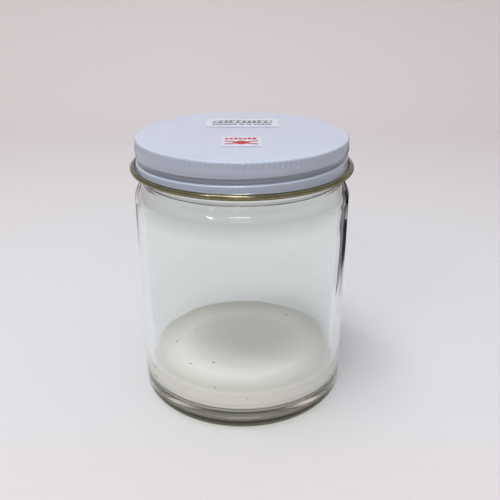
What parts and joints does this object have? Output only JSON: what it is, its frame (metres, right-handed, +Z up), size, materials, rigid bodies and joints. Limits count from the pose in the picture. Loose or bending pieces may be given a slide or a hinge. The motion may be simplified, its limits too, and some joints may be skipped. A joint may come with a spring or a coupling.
{
  "type": "plaster-bottomed collecting jar",
  "caption": "Straight-sided glass jar with a screw-on enamelled metal lid, sealing ring, lid labels and a cast plaster pad in its floor.",
  "frame": {"origin": "centre of the circle that the jar stands on, at the bottom", "axes": "+Z up along the jar's axis, -Y towards the front, which is the side the lid labels read from"},
  "size_m": [0.0752, 0.0752, 0.0936],
  "materials": {
    "clear_glass": "polished soda-lime glass, faint green-grey tint",
    "cast_plaster": "matt cast plaster, damp and slightly uneven",
    "enamelled_tinplate": "cool white satin enamel outside, gold lacquer inside and on the curled hem",
    "sealing_compound": "soft off-white sealing compound",
    "label_paper": "white printed sticker paper"
  },
  "bodies": {
    "jar": {"jar_body": "clear_glass", "plaster_pad": "cast_plaster"},
    "lid_seal": {"lid_gasket": "sealing_compound"},
    "lid": {"lid_shell": "enamelled_tinplate", "long_label": "label_paper", "square_label": "label_paper"}
  },
  "joints": [
    {"name": "lid_rise", "type": "slide", "parent": "jar", "child": "lid_seal", "axis": [0, 0, 1], "range_m": [0, 0.017]},
    {"name": "lid_turn", "type": "hinge", "parent": "lid_seal", "child": "lid", "pos_m": [0, 0, 0.0932], "axis": [0, 0, 1], "range_deg": [0, 1440]}
  ],
  "couplings": [
    {"joint": "lid_rise", "follows": "lid_turn", "m_per_rad": 0.0006737}
  ]
}
